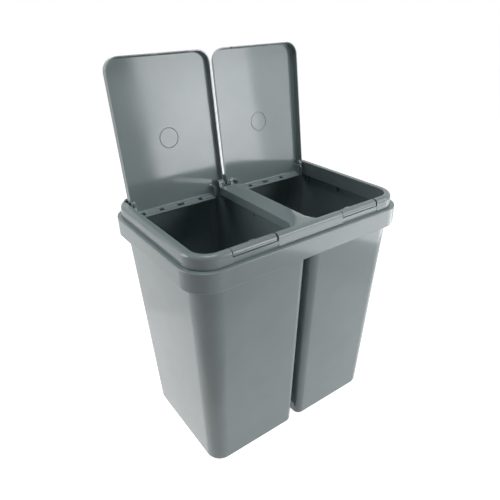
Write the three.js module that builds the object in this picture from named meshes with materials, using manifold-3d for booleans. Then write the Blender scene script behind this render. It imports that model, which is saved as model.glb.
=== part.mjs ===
// Twin waste-sorting bin: two drafted buckets moulded under one turned-over rim,
// a lift-off lid frame with a crossbar, and two hinged lids with sliding latches.
// Units are millimetres. X runs along the front, Y from front to back, +Z is up.
// The origin is on the floor, midway between the buckets. The lids stand open.
import * as THREE from 'three';
import { mergeVertices } from 'three/addons/utils/BufferGeometryUtils.js';
import Module from 'manifold-3d';

// ---------------------------------------------------------------- driving sizes
const TUB_HEIGHT = 450; // floor to the top of the rim ledge
const TUB_WALL = 2.4;
const RIM_HALF_LENGTH = 230.5; // along X
const RIM_HALF_DEPTH = 161; // along Y
const RIM_CORNER = 48;
const RIM_SKIRT = 35.7; // drop of the turned-over rim
const RIM_EDGE_ROUND = 2;
const RIM_GUSSET = 1.8; // thickness of the ribs under the rim
const RIM_GUSSET_DROP = 20;
const RIM_GUSSET_PITCH = 92;

// One bucket's plan outline: outer and inner side walls from the middle plane,
// half depth, and the vertical corner radii on the outer and the inner side.
const BUCKET_MOUTH = { outer: 218, inner: 5.2, halfDepth: 155, outerCorner: 45, innerCorner: 18 };
const BUCKET_BASE = { outer: 199.6, inner: 7, halfDepth: 124.5, outerCorner: 30, innerCorner: 15 };
const BASE_ROUND = 10.5; // radius between wall and base
const BASE_RECESS = 2; // the base stands on a ring
const BASE_RING = 12; // width of that ring inside the rounded edge

const FRAME_LEDGE = 7; // rim ledge left bare around the frame
const FRAME_HEIGHT = 23;
const FRAME_WALL = 2.2;
const FRAME_DRAFT = 0.8; // how far the outer wall leans in
const FRAME_EDGE_ROUND = 7.5;
const FRAME_CORNER_EASE = 3; // its plan corners are rounder than the rim's by this
const FRAME_SIDE_WIDTH = 16; // top face beside the opening
const FRAME_FRONT_WIDTH = 12;
const FRAME_REAR_WIDTH = 11;
const FRAME_OPENING_CORNER = 30;
const FRAME_REAR_CORNER = 12; // above the skirt, to let the lids' tails swing
const FRAME_SKIRT = 30; // inner skirt, from the frame's top down into the buckets
const FRAME_LUG_LENGTH = 26; // ribs that centre the skirt in the buckets
const SEAT_GAP = 0.3; // play between resting pieces

const CROSSBAR_HALF = 20;
const CROSSBAR_DROP = 6.3; // below the frame's top
const CROSSBAR_CROWN = 1.1;
const CROSSBAR_SKIRT = 11;
const CROSSBAR_CORNER = 36; // plan radius where it meets the front
const CROSSBAR_REAR = 62; // its full width ends here
const CROSSBAR_NECK = 8.5; // half width behind that

const HINGE_INSET = 30; // hinge axis, in front of the opening's rear edge
const HINGE_DROP = 2.5; // hinge axis below the frame's top
const HINGE_PIN_RADIUS = 3.2;
const HINGE_PIN_PLAY = 0.4;
const HINGE_LUG_RADIUS = 5.8;
const HINGE_LUG_THICKNESS = 4;
const HINGE_INNER_LUG = 9.5; // inner lug's far face, from the middle plane
const HINGE_SIDE_PLAY = 0.5; // lug to bracket, along the axis
const BRACKET_HEAD = 6.6; // radius round the hinge axis
const BRACKET_WIDTH = 7; // inner bracket, along the axis
const BRACKET_HOLE_SLOT = 5; // snap-in slot above the pin
const BRACKET_FRONT = 12; // front face ahead of the axis
const BRACKET_REAR = 20; // rear end of its foot inside the bucket
const BRACKET_STEP = 15; // under this depth the bracket reaches the rear wall
const BRACKET_SHOULDER = 7; // depth of the front edge's top below the axis

const LID_WALL = 2.2;
const LID_RISE = 10.6; // outer face above the hinge axis, when shut
const LID_SKIRT = 16.5;
const LID_BAR_RELIEF = 3.8; // skirt cut back above the crossbar
const LID_BAR_RELIEF_REACH = 26; // and this far beyond it, over its rounded corners
const LID_FLARE = 4.1; // inner skirt spreads towards its rim
const LID_CORNER = 25;
const LID_EDGE_ROUND = 2.5;
const LID_SIDE_PLAY = 1.8; // lid to the frame's opening
const LID_FRONT_PLAY = 3;
const LID_MIDDLE_GAP = 4.8; // lid to lid
const LID_HEEL = 6; // how far the full width runs behind the axis
const LID_TAIL = 28.5; // rim of the narrower tail, behind the axis
const LID_TAIL_SLANT = 7; // its rear skirt leans forward by this
const LID_TAIL_OUTER_INSET = 9;
const LID_TAIL_INNER_INSET = 25.2;
const LID_OPEN_ANGLE = 96.9; // degrees from shut to the stop
const LID_RING_RADIUS = 18.5; // moulded ring on the underside
const LID_RING_BEAD = 0.5;
const LID_LENGTH_TO_RING = 147; // front edge to the ring's middle
const TAIL_SLOTS = [[-79, 7], [-41, 7], [-3, 7], [4.5, 2.6], [44, 7]]; // [offset, width]
const TAIL_SLOT_HEIGHT = 6;
const TAIL_SLOT_DROP = 5.6; // below the lid's outer face

const CATCH_OFFSET = -8.3; // catch window from each lid's middle; the lids' fronts are alike
const CATCH_WIDTH = 11;
const CATCH_HEIGHT = 4.6;
const CATCH_BAR = 2.4; // bar of skirt that the hook holds
const CATCH_BAR_RELIEF = 1.2; // bar set back from the rim
const LATCH_MIDDLE = 114.5; // pocket middle, from the middle plane
const LATCH_LENGTH = 83.2;
const LATCH_HEIGHT = 10.6;
const LATCH_END_GAP = 1.2; // left end
const LATCH_FREE_GAP = 3.6; // right end
const LATCH_FLOOR_GAP = 1.4;
const LATCH_PLAY = 0.35; // latch to the pocket's hidden faces
const LATCH_TRAVEL = 3.2;
const LATCH_LEG = 4; // guide legs under the bar
const HOOK_ENGAGEMENT = 1.6; // hook past the lid's skirt
const HOOK_HEIGHT = 2.6;
const HOOK_PAD_WIDTH = 14; // pad on the latch's inner face that carries the hook
const HOOK_PAD_REACH = 2.4;
const FINGER_RECESS = 0.8;

// ---------------------------------------------------------------- derived sizes
const FRAME_TOP = TUB_HEIGHT + FRAME_HEIGHT;
const FRAME_HALF_LENGTH = RIM_HALF_LENGTH - FRAME_LEDGE;
const FRAME_HALF_DEPTH = RIM_HALF_DEPTH - FRAME_LEDGE;
const FRAME_CORNER = RIM_CORNER - FRAME_LEDGE + FRAME_CORNER_EASE;
const OPENING_HALF = FRAME_HALF_LENGTH - FRAME_SIDE_WIDTH;
const OPENING_FRONT = -FRAME_HALF_DEPTH + FRAME_FRONT_WIDTH;
const OPENING_REAR = FRAME_HALF_DEPTH - FRAME_REAR_WIDTH;
const CROSSBAR_TOP = FRAME_TOP - CROSSBAR_DROP;
const SKIRT_BOTTOM = FRAME_TOP - FRAME_SKIRT;
const HINGE_Y = OPENING_REAR - HINGE_INSET;
const HINGE_Z = FRAME_TOP - HINGE_DROP;
const LID_RIM = LID_RISE - LID_SKIRT;
const LID_OUTER = OPENING_HALF - LID_SIDE_PLAY;
const LID_INNER = LID_MIDDLE_GAP / 2;
const LID_MIDDLE = (LID_OUTER + LID_INNER) / 2;
const LID_LENGTH = HINGE_Y - (OPENING_FRONT + LID_FRONT_PLAY);
const POCKET_HALF = (LATCH_LENGTH + LATCH_END_GAP + LATCH_FREE_GAP) / 2;
const POCKET_FLOOR = FRAME_TOP - LATCH_HEIGHT - LATCH_FLOOR_GAP;
// How much the bucket mouth narrows between the ledge and the foot of the skirt.
const BUCKET_SIDE_DRAFT = (FRAME_SKIRT - FRAME_HEIGHT)
  * (BUCKET_MOUTH.halfDepth - BUCKET_BASE.halfDepth) / TUB_HEIGHT;

// ---------------------------------------------------------------- solid helpers
const wasm = await Module();
wasm.setup();

const CORNER_STEPS = 5; // arc points per quarter, doubled by the curve class
const ROUND_STEPS = 4;
const OVERLAP = 1; // how far cutting tools run past a face

/** Turns a closed three.js geometry into a manifold solid. */
function solid(geometry) {
  const bare = geometry.clone();
  for (const name of Object.keys(bare.attributes)) {
    if (name !== 'position') bare.deleteAttribute(name);
  }
  const merged = mergeVertices(bare, 1e-4);
  return new wasm.Manifold(new wasm.Mesh({
    numProp: 3,
    vertProperties: new Float32Array(merged.attributes.position.array),
    triVerts: new Uint32Array(merged.index.array),
  }));
}

/** Turns a manifold solid into a three.js geometry with flat-shaded normals. */
function geometryOf(body) {
  const mesh = body.getMesh();
  const geometry = new THREE.BufferGeometry();
  geometry.setAttribute('position', new THREE.BufferAttribute(mesh.vertProperties, 3));
  geometry.setIndex(new THREE.BufferAttribute(mesh.triVerts, 1));
  const flat = geometry.toNonIndexed();
  flat.computeVertexNormals();
  return flat;
}

/** Joins a list of solids. */
function join(bodies) {
  return bodies.reduce((sum, body) => sum.add(body));
}

/** A box from its low corner to its high corner. */
function block(x0, x1, y0, y1, z0, z1) {
  const geometry = new THREE.BoxGeometry(x1 - x0, y1 - y0, z1 - z0);
  geometry.translate((x0 + x1) / 2, (y0 + y1) / 2, (z0 + z1) / 2);
  return solid(geometry);
}

/** Plan outline of a rectangle with its own radius at each corner, anticlockwise. */
function outline(x0, x1, y0, y1, radii) {
  const [r00, r10, r11, r01] = radii;
  const shape = new THREE.Shape();
  shape.absarc(x0 + r00, y0 + r00, r00, Math.PI, 1.5 * Math.PI);
  shape.absarc(x1 - r10, y0 + r10, r10, 1.5 * Math.PI, 2 * Math.PI);
  shape.absarc(x1 - r11, y1 - r11, r11, 0, 0.5 * Math.PI);
  shape.absarc(x0 + r01, y1 - r01, r01, 0.5 * Math.PI, Math.PI);
  return shape.getPoints(CORNER_STEPS);
}

/** Lofts convex plan outlines, given as [z, points] from low to high, into a solid. */
function loft(sections) {
  const count = sections[0][1].length;
  const positions = [];
  const index = [];
  for (const [z, points] of sections) {
    for (const point of points) positions.push(point.x, point.y, z);
  }
  for (let level = 0; level + 1 < sections.length; level += 1) {
    for (let i = 0; i < count; i += 1) {
      const a = level * count + i;
      const b = level * count + ((i + 1) % count);
      index.push(a, b, b + count, a, b + count, a + count);
    }
  }
  const top = (sections.length - 1) * count;
  for (let i = 1; i + 1 < count; i += 1) {
    index.push(0, i + 1, i, top, top + i, top + i + 1);
  }
  const geometry = new THREE.BufferGeometry();
  geometry.setAttribute('position', new THREE.Float32BufferAttribute(positions, 3));
  geometry.setIndex(index);
  return solid(geometry);
}

/** Steps of a quarter round: [rise, inset] pairs from the upright face to the flat one. */
function quarterRound(radius) {
  return Array.from({ length: ROUND_STEPS + 1 }, (_, step) => {
    const angle = (step / ROUND_STEPS) * 0.5 * Math.PI;
    return [radius * Math.sin(angle), radius * (1 - Math.cos(angle))];
  });
}

/** A profile drawn in (y, z) and extruded from x0 to x1. */
function extrudeAlongX(points, x0, x1) {
  const shape = new THREE.Shape(points.map(([y, z]) => new THREE.Vector2(y, z)));
  const geometry = new THREE.ExtrudeGeometry(shape, { depth: x1 - x0, bevelEnabled: false });
  geometry.rotateY(0.5 * Math.PI);
  geometry.rotateX(0.5 * Math.PI);
  geometry.translate(x0, 0, 0);
  return solid(geometry);
}

/** A round pin or hole along X. */
function rod(radius, y, z, x0, x1) {
  const geometry = new THREE.CylinderGeometry(radius, radius, x1 - x0, 28);
  geometry.rotateZ(0.5 * Math.PI);
  geometry.translate((x0 + x1) / 2, y, z);
  return solid(geometry);
}

// ---------------------------------------------------------------- twin tub
/** Outer plan outline of a bucket at a height; inset draws the cavity and the fillets. */
function bucketOutline(side, z, inset = 0) {
  const share = z / TUB_HEIGHT;
  const at = (key) => THREE.MathUtils.lerp(BUCKET_BASE[key], BUCKET_MOUTH[key], share);
  const far = at('outer') - inset;
  const near = at('inner') + inset;
  const depth = at('halfDepth') - inset;
  const outerCorner = Math.max(at('outerCorner') - inset, 1);
  const innerCorner = Math.max(at('innerCorner') - inset, 1);
  if (side < 0) {
    return outline(-far, -near, -depth, depth, [outerCorner, innerCorner, innerCorner, outerCorner]);
  }
  return outline(near, far, -depth, depth, [innerCorner, outerCorner, outerCorner, innerCorner]);
}

/** A bucket's outside or, with an inset and a floor height, its cavity. */
function bucketLoft(side, inset, floor, top) {
  const radius = BASE_ROUND - inset;
  const rounded = quarterRound(radius).reverse().map(([rise, extra]) => {
    const z = floor + radius - rise;
    return [z, bucketOutline(side, z, inset + extra)];
  });
  return loft([...rounded, [top, bucketOutline(side, top, inset)]]);
}

/** Plan outline of the tub's rim or of anything concentric with it. */
function rimOutline(inset) {
  const x = RIM_HALF_LENGTH - inset;
  const y = RIM_HALF_DEPTH - inset;
  const r = RIM_CORNER - inset;
  return outline(-x, x, -y, y, [r, r, r, r]);
}

/** Ribs between the turned-over rim and the buckets, seen only from below. */
function rimGussets() {
  const low = TUB_HEIGHT - RIM_GUSSET_DROP;
  const high = TUB_HEIGHT - TUB_WALL / 2;
  const x = RIM_HALF_LENGTH - TUB_WALL / 2;
  const y = RIM_HALF_DEPTH - TUB_WALL / 2;
  const half = RIM_GUSSET / 2;
  const ribs = [];
  for (const place of [-RIM_GUSSET_PITCH, 0, RIM_GUSSET_PITCH]) {
    ribs.push(block(-x, -x + 3 * FRAME_LEDGE, place - half, place + half, low, high));
    ribs.push(block(x - 3 * FRAME_LEDGE, x, place - half, place + half, low, high));
  }
  for (const side of [-1, 1]) {
    for (const place of [0.7, 1.7]) {
      const middle = side * place * RIM_GUSSET_PITCH;
      ribs.push(block(middle - half, middle + half, -y, -y + 2 * FRAME_LEDGE, low, high));
      ribs.push(block(middle - half, middle + half, y - 2 * FRAME_LEDGE, y, low, high));
    }
  }
  return join(ribs);
}

/** The tub: two buckets under one rim, a single moulding. */
function makeTub() {
  const skirtBottom = TUB_HEIGHT - RIM_SKIRT;
  const edge = quarterRound(RIM_EDGE_ROUND).map(([rise, inset]) => {
    return [TUB_HEIGHT - RIM_EDGE_ROUND + rise, rimOutline(inset)];
  });
  const rim = loft([[skirtBottom, rimOutline(0)], ...edge]);
  const under = loft([
    [skirtBottom - OVERLAP, rimOutline(TUB_WALL)],
    [TUB_HEIGHT - TUB_WALL, rimOutline(TUB_WALL)],
  ]);
  let body = rim.subtract(under).add(rimGussets());
  for (const side of [-1, 1]) {
    body = body.add(bucketLoft(side, 0, 0, TUB_HEIGHT - TUB_WALL / 2));
  }
  for (const side of [-1, 1]) {
    const floor = BASE_RECESS + TUB_WALL;
    body = body.subtract(bucketLoft(side, TUB_WALL, floor, TUB_HEIGHT + OVERLAP));
    const ring = BASE_ROUND + BASE_RING;
    body = body.subtract(loft([
      [-OVERLAP, bucketOutline(side, 0, ring)],
      [BASE_RECESS, bucketOutline(side, 0, ring)],
    ]));
  }
  return body;
}

// ---------------------------------------------------------------- lid frame
/** Plan outline of the frame's outer wall. */
function frameOutline(inset) {
  const x = FRAME_HALF_LENGTH - inset;
  const y = FRAME_HALF_DEPTH - inset;
  const r = FRAME_CORNER - inset;
  return outline(-x, x, -y, y, [r, r, r, r]);
}

/** Plan outline of one mouth beside the crossbar, grown outwards by a wall. */
function mouthOutline(side, grow, rearCorner) {
  const far = OPENING_HALF + grow;
  const near = CROSSBAR_HALF - grow;
  const y0 = OPENING_FRONT - grow;
  const y1 = OPENING_REAR + grow;
  const outer = FRAME_OPENING_CORNER + grow;
  const front = CROSSBAR_CORNER + grow;
  const rearInner = FRAME_WALL + grow;
  const rearOuter = rearCorner + grow;
  if (side < 0) return outline(-far, -near, y0, y1, [outer, front, rearInner, rearOuter]);
  return outline(near, far, y0, y1, [front, outer, rearOuter, rearInner]);
}

/** One mouth from the skirt's foot up: its rear outer corner is tighter above the ledge. */
function mouthLoft(side, grow, below, above) {
  const step = TUB_HEIGHT + SEAT_GAP + FRAME_WALL - grow;
  return loft([
    [SKIRT_BOTTOM + below, mouthOutline(side, grow, FRAME_OPENING_CORNER)],
    [step + OVERLAP / 2, mouthOutline(side, grow, FRAME_OPENING_CORNER)],
  ]).add(loft([
    [step, mouthOutline(side, grow, FRAME_REAR_CORNER)],
    [FRAME_TOP + above, mouthOutline(side, grow, FRAME_REAR_CORNER)],
  ]));
}

/** Two-sided list of x ranges, mirrored for the left and the right lid. */
function mirrored(side, x0, x1) {
  return side > 0 ? [x0, x1] : [-x1, -x0];
}

/** The x range of the inner and the outer hinge bracket of one lid. */
function bracketRanges(side) {
  const innerLug = HINGE_INNER_LUG + HINGE_SIDE_PLAY;
  const outerLug = LID_OUTER - HINGE_LUG_THICKNESS - HINGE_SIDE_PLAY;
  const outerEnd = LID_OUTER - LID_TAIL_OUTER_INSET + HINGE_SIDE_PLAY;
  return [mirrored(side, innerLug, innerLug + BRACKET_WIDTH), mirrored(side, outerEnd, outerLug)];
}

/** Side view of a hinge bracket: a round head on a web that runs to the rear wall. */
function bracketProfile() {
  const head = [];
  for (let step = 0; step <= 12; step += 1) {
    const angle = (step / 12) * Math.PI;
    head.push([HINGE_Y + BRACKET_HEAD * Math.cos(angle), HINGE_Z + BRACKET_HEAD * Math.sin(angle)]);
  }
  return [
    ...head,
    [HINGE_Y - BRACKET_FRONT, HINGE_Z - BRACKET_SHOULDER],
    [HINGE_Y - BRACKET_FRONT, SKIRT_BOTTOM],
    [HINGE_Y + BRACKET_REAR, SKIRT_BOTTOM],
    [HINGE_Y + BRACKET_REAR, TUB_HEIGHT + SEAT_GAP],
    [OPENING_REAR + FRAME_WALL / 2, TUB_HEIGHT + SEAT_GAP],
    [OPENING_REAR + FRAME_WALL / 2, HINGE_Z - BRACKET_STEP],
    [HINGE_Y + BRACKET_HEAD, HINGE_Z - BRACKET_STEP],
  ];
}

/** The hinge brackets of both lids, bored for the pins and slotted to snap them in. */
function hingeBrackets() {
  const holeRadius = HINGE_PIN_RADIUS + HINGE_PIN_PLAY;
  const brackets = [];
  for (const side of [-1, 1]) {
    for (const [x0, x1] of bracketRanges(side)) {
      const slot = BRACKET_HOLE_SLOT / 2;
      const top = HINGE_Z + BRACKET_HEAD + OVERLAP;
      brackets.push(extrudeAlongX(bracketProfile(), x0, x1)
        .subtract(rod(holeRadius, HINGE_Y, HINGE_Z, x0 - OVERLAP, x1 + OVERLAP))
        .subtract(block(x0 - OVERLAP, x1 + OVERLAP, HINGE_Y - slot, HINGE_Y + slot, HINGE_Z, top)));
    }
  }
  return join(brackets);
}

/** The crossbar's crowned cap and its two flanks, as far as the hinge brackets. */
function crossbar() {
  const profile = [];
  for (let step = 0; step <= 10; step += 1) {
    const x = THREE.MathUtils.lerp(-CROSSBAR_HALF, CROSSBAR_HALF, step / 10);
    profile.push(new THREE.Vector2(x, CROSSBAR_TOP + CROSSBAR_CROWN * (1 - (x / CROSSBAR_HALF) ** 2)));
  }
  profile.push(new THREE.Vector2(CROSSBAR_HALF, CROSSBAR_TOP - CROSSBAR_SKIRT));
  profile.push(new THREE.Vector2(CROSSBAR_HALF - FRAME_WALL, CROSSBAR_TOP - CROSSBAR_SKIRT));
  profile.push(new THREE.Vector2(CROSSBAR_HALF - FRAME_WALL, CROSSBAR_TOP - FRAME_WALL));
  profile.push(new THREE.Vector2(FRAME_WALL - CROSSBAR_HALF, CROSSBAR_TOP - FRAME_WALL));
  profile.push(new THREE.Vector2(FRAME_WALL - CROSSBAR_HALF, CROSSBAR_TOP - CROSSBAR_SKIRT));
  profile.push(new THREE.Vector2(-CROSSBAR_HALF, CROSSBAR_TOP - CROSSBAR_SKIRT));
  const length = CROSSBAR_REAR - OPENING_FRONT + FRAME_WALL / 2;
  const geometry = new THREE.ExtrudeGeometry(new THREE.Shape(profile), {
    depth: length, bevelEnabled: false,
  });
  geometry.rotateX(0.5 * Math.PI);
  geometry.translate(0, CROSSBAR_REAR, 0);
  return solid(geometry).add(block(1 - CROSSBAR_HALF, CROSSBAR_HALF - 1, CROSSBAR_REAR - FRAME_WALL,
    CROSSBAR_REAR, CROSSBAR_TOP - CROSSBAR_SKIRT, CROSSBAR_TOP - FRAME_WALL / 2));
}

/** Narrow neck behind the crossbar that carries it and the inner hinge brackets. */
function hingeNeck() {
  const half = HINGE_INNER_LUG + HINGE_SIDE_PLAY + BRACKET_WIDTH;
  const front = HINGE_Y - BRACKET_FRONT;
  const foot = TUB_HEIGHT + SEAT_GAP;
  const low = CROSSBAR_TOP - CROSSBAR_SKIRT;
  return block(-half, half, front - FRAME_WALL, OPENING_REAR + FRAME_WALL / 2, foot, low)
    .add(block(-CROSSBAR_NECK, CROSSBAR_NECK, CROSSBAR_REAR - FRAME_WALL, front, low - FRAME_WALL,
      CROSSBAR_TOP - CROSSBAR_CROWN));
}

/** Inner walls of the frame in front of and behind the crossbar. */
function middleWalls() {
  const front = CROSSBAR_HALF + CROSSBAR_CORNER;
  const rear = CROSSBAR_HALF;
  const foot = TUB_HEIGHT + SEAT_GAP;
  const high = FRAME_TOP - FRAME_WALL / 2;
  return block(-front, front, OPENING_FRONT - FRAME_WALL, OPENING_FRONT, foot, high)
    .add(block(-rear, rear, OPENING_REAR, OPENING_REAR + FRAME_WALL, foot, high));
}

/** Blocks behind the front wall that hold the latch pockets. */
function pocketBlocks() {
  const front = -FRAME_HALF_DEPTH + FRAME_WALL;
  const foot = TUB_HEIGHT + SEAT_GAP;
  const high = FRAME_TOP - FRAME_WALL;
  const ease = FRAME_EDGE_ROUND / 2;
  const profile = [
    [front, foot],
    [OPENING_FRONT, foot],
    [OPENING_FRONT, high],
    [front + ease, high],
    [front, high - ease],
  ];
  const half = POCKET_HALF + FRAME_WALL;
  const places = [-LATCH_MIDDLE, LATCH_MIDDLE];
  return join(places.map((middle) => extrudeAlongX(profile, middle - half, middle + half)));
}

/** Everything cut from the front wall for the latches: pocket, leg slots, finger recess. */
function pocketCuts() {
  const cuts = [];
  const front = -FRAME_HALF_DEPTH;
  for (const side of [-1, 1]) {
    const middle = side * LATCH_MIDDLE;
    const x0 = middle - POCKET_HALF;
    const x1 = middle + POCKET_HALF;
    cuts.push(block(x0, x1, front - OVERLAP, OPENING_FRONT + OVERLAP, POCKET_FLOOR, FRAME_TOP + OVERLAP));
    cuts.push(block(x0, x1, front - OVERLAP, front + FINGER_RECESS, TUB_HEIGHT, POCKET_FLOOR + OVERLAP));
    for (const end of [-1, 1]) {
      const leg = middle + latchShift() + end * (LATCH_LENGTH / 2 - 2 * LATCH_LEG);
      const half = LATCH_LEG / 2 + LATCH_PLAY;
      cuts.push(block(leg - half, leg + half, latchLegFront() - LATCH_TRAVEL - LATCH_PLAY,
        latchLegFront() + LATCH_LEG + LATCH_PLAY, latchLegBottom() - LATCH_PLAY, POCKET_FLOOR + OVERLAP));
    }
  }
  return join(cuts);
}

/** Ribs on the skirt that centre the frame in the bucket mouths. */
function centringLugs() {
  const low = SKIRT_BOTTOM + FRAME_WALL;
  const high = TUB_HEIGHT + SEAT_GAP + FRAME_WALL;
  const half = FRAME_LUG_LENGTH / 2;
  const reach = BUCKET_MOUTH.outer - TUB_WALL - SEAT_GAP - 2 * BUCKET_SIDE_DRAFT;
  const front = BUCKET_MOUTH.halfDepth - TUB_WALL - SEAT_GAP - 2 * BUCKET_SIDE_DRAFT;
  const lugs = [];
  for (const side of [-1, 1]) {
    const [x0, x1] = mirrored(side, OPENING_HALF + FRAME_WALL / 2, reach);
    for (const place of [-RIM_GUSSET_PITCH / 2, RIM_GUSSET_PITCH / 2]) {
      lugs.push(block(x0, x1, place - half, place + half, low, high));
    }
    const middle = side * LID_MIDDLE;
    lugs.push(block(middle - half, middle + half, -front, OPENING_FRONT - FRAME_WALL / 2, low, high));
    lugs.push(block(middle - half, middle + half, OPENING_REAR + FRAME_WALL / 2, front, low, high));
  }
  return join(lugs);
}

/** The frame: an open ring that sits on the ledge, with skirt, crossbar and brackets. */
function makeFrame() {
  const foot = TUB_HEIGHT + SEAT_GAP;
  const edge = quarterRound(FRAME_EDGE_ROUND).map(([rise, inset]) => {
    return [FRAME_TOP - FRAME_EDGE_ROUND + rise, frameOutline(FRAME_DRAFT + inset)];
  });
  const outside = loft([[foot, frameOutline(0)], ...edge]);
  const hollowTop = FRAME_TOP - FRAME_WALL;
  const hollowRound = FRAME_EDGE_ROUND - FRAME_WALL;
  const hollowEdge = quarterRound(hollowRound).map(([rise, inset]) => {
    return [hollowTop - hollowRound + rise, frameOutline(FRAME_WALL + FRAME_DRAFT + inset)];
  });
  const hollow = loft([[foot - OVERLAP, frameOutline(FRAME_WALL)], ...hollowEdge]);
  let body = outside.subtract(hollow).add(pocketBlocks()).add(centringLugs());
  for (const side of [-1, 1]) {
    body = body.add(mouthLoft(side, FRAME_WALL, 0, -FRAME_WALL / 2));
  }
  const deckHalf = CROSSBAR_HALF + CROSSBAR_CORNER;
  body = body.add(block(-deckHalf, deckHalf, OPENING_FRONT - FRAME_WALL / 2,
    CROSSBAR_REAR, CROSSBAR_TOP - FRAME_WALL, CROSSBAR_TOP));
  const whole = outline(-OPENING_HALF, OPENING_HALF, OPENING_FRONT, OPENING_REAR,
    [FRAME_OPENING_CORNER, FRAME_OPENING_CORNER, FRAME_REAR_CORNER, FRAME_REAR_CORNER]);
  body = body.subtract(loft([[CROSSBAR_TOP, whole], [FRAME_TOP + OVERLAP, whole]]));
  for (const side of [-1, 1]) {
    body = body.subtract(mouthLoft(side, 0, -OVERLAP, OVERLAP));
  }
  // Under the crossbar the skirt stops short, and behind it the lids' lugs swing free.
  const clear = CROSSBAR_HALF + OVERLAP / 2;
  body = body.subtract(block(-clear, clear, OPENING_FRONT + CROSSBAR_CORNER / 2, OPENING_REAR,
    SKIRT_BOTTOM - OVERLAP, CROSSBAR_TOP - CROSSBAR_SKIRT));
  body = body.subtract(block(-clear, clear, CROSSBAR_REAR, OPENING_REAR,
    SKIRT_BOTTOM - OVERLAP, FRAME_TOP));
  body = body.add(middleWalls()).add(crossbar()).add(hingeNeck()).add(hingeBrackets());
  return body.subtract(pocketCuts());
}

// ---------------------------------------------------------------- lids
/** The edge of a lid between its inner and its outer side, from the lid's middle. */
function lidEdges(side, z) {
  const share = THREE.MathUtils.clamp((z - LID_RIM) / LID_SKIRT, 0, 1);
  const near = LID_INNER + LID_FLARE * share - LID_MIDDLE;
  const far = LID_OUTER - LID_MIDDLE;
  return { share, near, far };
}

/** Plan outline of a lid's full-width field, around the hinge axis as origin. */
function lidField(side, z, inset, heel) {
  const { near, far } = lidEdges(side, z);
  const front = Math.max(LID_CORNER - inset, 1);
  const [x0, x1] = mirrored(side, near + inset, far - inset);
  return outline(x0, x1, -LID_LENGTH + inset, heel, [front, front, 0.5, 0.5]);
}

/** Plan outline of the narrower tail behind the hinge axis. */
function lidTail(side, z, inset, front) {
  const { share, far } = lidEdges(side, z);
  const near = LID_INNER + LID_TAIL_INNER_INSET - LID_MIDDLE + inset;
  const [x0, x1] = mirrored(side, near, far - LID_TAIL_OUTER_INSET - inset);
  const corner = Math.max(LID_EDGE_ROUND - inset, 0.5);
  const rear = LID_TAIL - LID_TAIL_SLANT * share - inset;
  return outline(x0, x1, front, rear, [0.5, 0.5, corner, corner]);
}

/** A lid volume from the rim up, its top edge rounded over. */
function lidVolume(outlineAt, low, high, inset) {
  const edge = quarterRound(LID_EDGE_ROUND).map(([rise, extra]) => {
    const z = high - LID_EDGE_ROUND + rise;
    return [z, outlineAt(z, inset + extra)];
  });
  return loft([[low, outlineAt(low, inset)], [LID_RIM, outlineAt(LID_RIM, inset)], ...edge]);
}

/** Window in the front skirt for the latch hook, with the bar below it set back. */
function catchCuts() {
  const middle = CATCH_OFFSET;
  const half = CATCH_WIDTH / 2;
  const y0 = -LID_LENGTH - OVERLAP;
  const y1 = -LID_LENGTH + LID_WALL + OVERLAP;
  const barTop = LID_RIM + CATCH_BAR_RELIEF + CATCH_BAR;
  return block(middle - half, middle + half, y0, y1, barTop, barTop + CATCH_HEIGHT)
    .add(block(middle - half, middle + half, y0, y1, LID_RIM - OVERLAP, LID_RIM + CATCH_BAR_RELIEF));
}

/** One lid in its shut attitude, with the hinge axis along X through its origin. */
function makeLid(side) {
  const below = LID_RIM - OVERLAP;
  const ceiling = LID_RISE - LID_WALL;
  const field = lidVolume((z, inset) => lidField(side, z, inset, LID_HEEL), below, LID_RISE, 0);
  const tail = lidVolume((z, inset) => lidTail(side, z, inset, 0), below, LID_RISE, 0);
  const openHeel = LID_HEEL + OVERLAP;
  const fieldHollow = lidVolume((z, inset) => lidField(side, z, inset, openHeel),
    below - OVERLAP, ceiling, LID_WALL);
  const tailHollow = lidVolume((z, inset) => lidTail(side, z, inset, -OVERLAP),
    below - OVERLAP, ceiling, LID_WALL);
  let body = field.add(tail).subtract(fieldHollow).subtract(tailHollow);
  const reach = LID_OUTER + LID_LENGTH;
  body = body.subtract(block(-reach, reach, -reach, reach, below - OVERLAP, LID_RIM));
  const [bar0, bar1] = mirrored(side, -LID_MIDDLE, CROSSBAR_HALF + LID_BAR_RELIEF_REACH - LID_MIDDLE);
  body = body.subtract(block(bar0, bar1, -reach, 0, below, LID_RIM + LID_BAR_RELIEF));
  for (const [offset, width] of TAIL_SLOTS) {
    const top = LID_RISE - TAIL_SLOT_DROP;
    body = body.subtract(block(offset - width / 2, offset + width / 2,
      LID_TAIL - LID_TAIL_SLANT - LID_WALL - OVERLAP, LID_TAIL + OVERLAP, top - TAIL_SLOT_HEIGHT, top));
  }
  body = body.subtract(catchCuts());
  const outerFace = LID_OUTER - HINGE_LUG_THICKNESS;
  const lugs = [
    [HINGE_INNER_LUG - HINGE_LUG_THICKNESS, HINGE_INNER_LUG, HINGE_INNER_LUG + BRACKET_WIDTH],
    [outerFace, LID_OUTER, outerFace - pinLength()],
  ];
  for (const [near, far, pinEnd] of lugs) {
    const [x0, x1] = mirrored(side, near - LID_MIDDLE, far - LID_MIDDLE);
    const pinStart = (near + far) / 2;
    const [p0, p1] = mirrored(side, Math.min(pinStart, pinEnd) - LID_MIDDLE,
      Math.max(pinStart, pinEnd) - LID_MIDDLE);
    body = body.add(rod(HINGE_LUG_RADIUS, 0, 0, x0, x1)).add(rod(HINGE_PIN_RADIUS, 0, 0, p0, p1));
  }
  return body.add(ringBead(-LID_LENGTH + LID_LENGTH_TO_RING));
}

/** Pins reach through the narrow outer bracket. */
function pinLength() {
  return LID_TAIL_OUTER_INSET - HINGE_LUG_THICKNESS - HINGE_SIDE_PLAY;
}

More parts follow.
